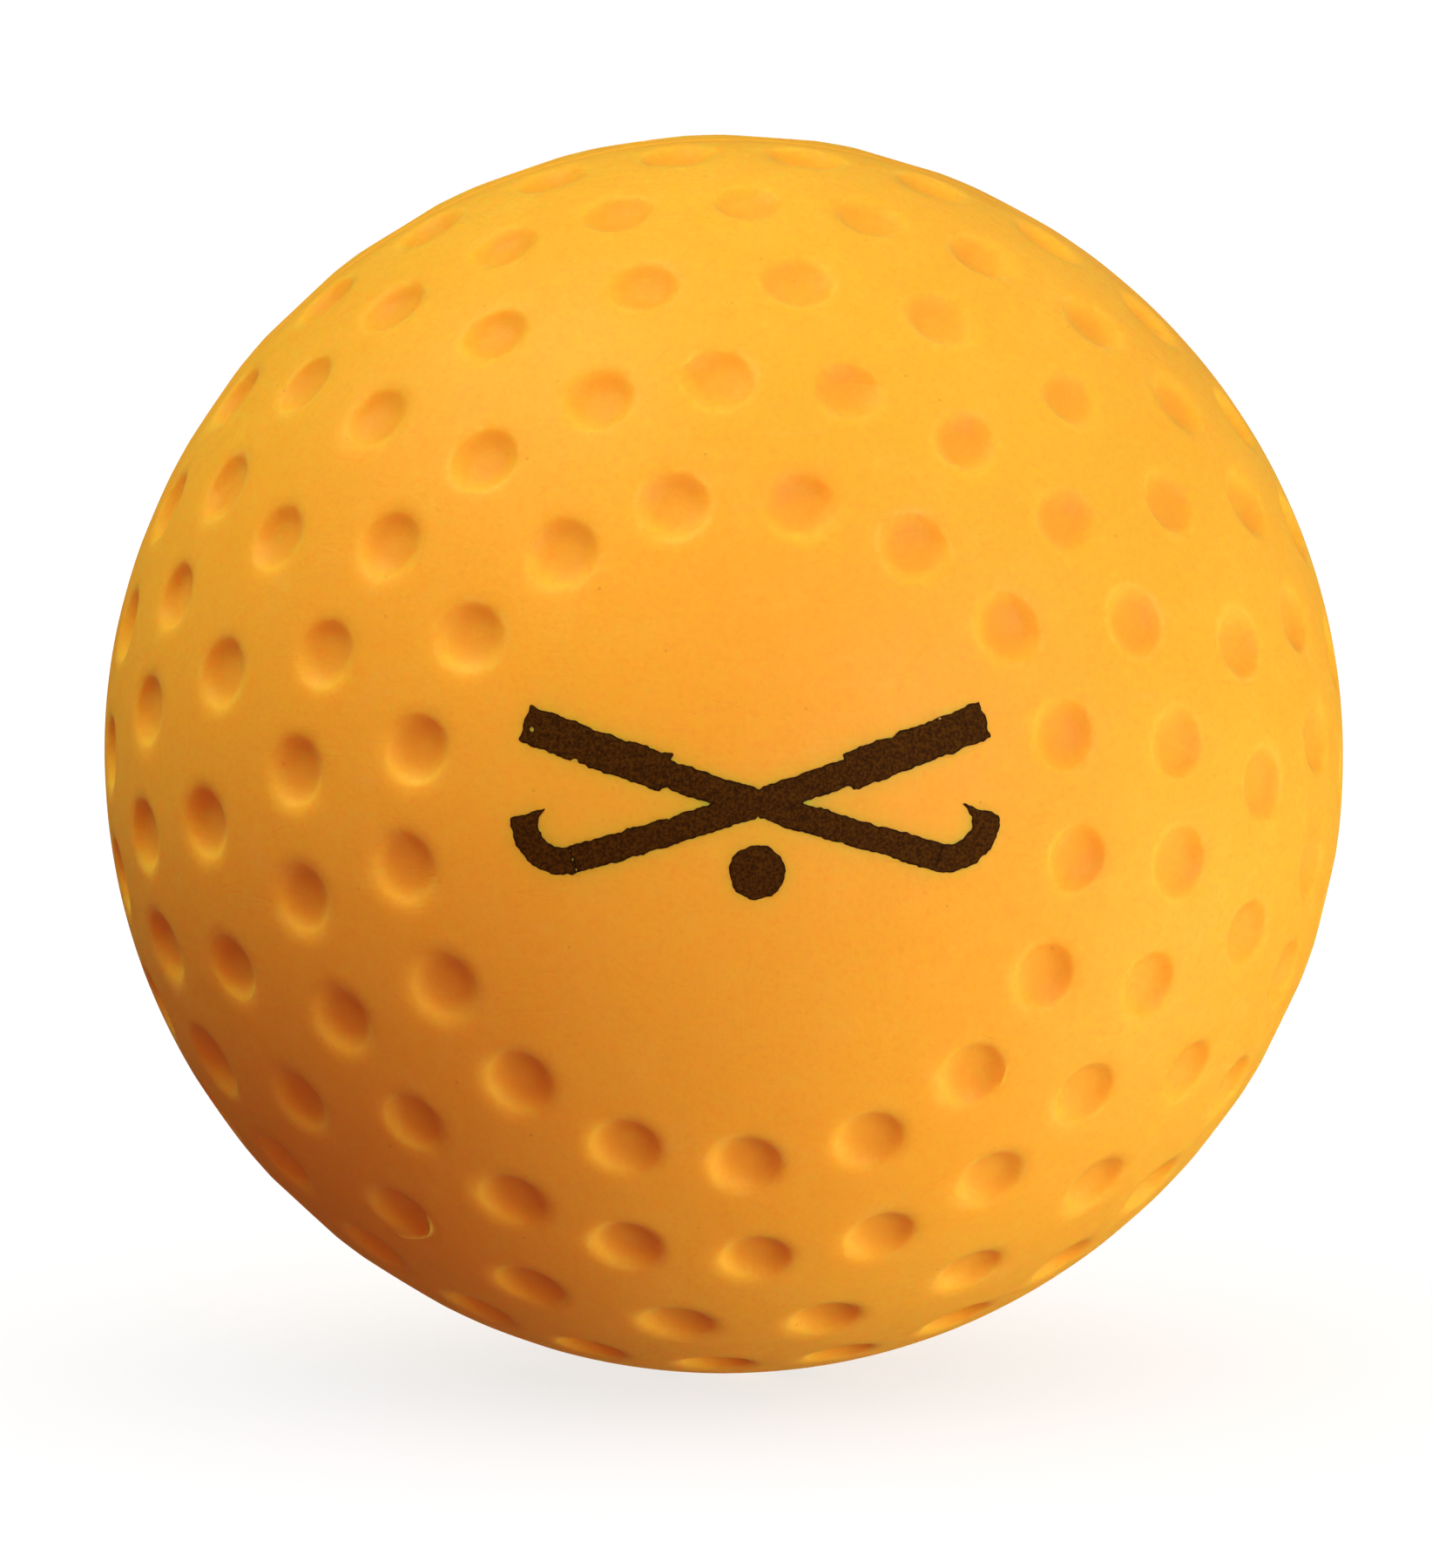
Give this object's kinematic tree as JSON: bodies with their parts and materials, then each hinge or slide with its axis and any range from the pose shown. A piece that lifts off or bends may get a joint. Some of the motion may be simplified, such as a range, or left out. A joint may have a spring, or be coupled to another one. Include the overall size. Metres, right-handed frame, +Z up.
{
  "type": "field hockey ball",
  "caption": "Round orange sports ball with a dimpled moulded cover, a blank panel at each pole, a small dark printed mark and a wound cork core.",
  "frame": {"origin": "centre of the ball", "axes": "+Z up; the panel with the printed mark faces -Y; the two cover halves meet on the plane y = 0"},
  "size_m": [0.073, 0.073, 0.073],
  "materials": {
    "cover_plastic": "waxy semi-gloss moulded plastic",
    "print_ink": "matt dark brown ink",
    "latex": "dried latex",
    "yarn": "tightly wound twisted yarn",
    "cork": "pressed cork granules",
    "cork_rubber": "cork granules in rubber"
  },
  "bodies": {
    "root": {"front_cover_half": "cover_plastic", "rear_cover_half": "cover_plastic", "printed_mark": "print_ink", "bonding_coat": "latex", "outer_winding": "yarn", "outer_cork_cup_front": "cork", "outer_cork_cup_rear": "cork", "middle_winding": "yarn", "middle_cork_cup_front": "cork", "middle_cork_cup_rear": "cork", "inner_winding": "yarn", "inner_cork_cup_front": "cork", "inner_cork_cup_rear": "cork", "core_centre": "cork_rubber"}
  },
  "joints": []
}
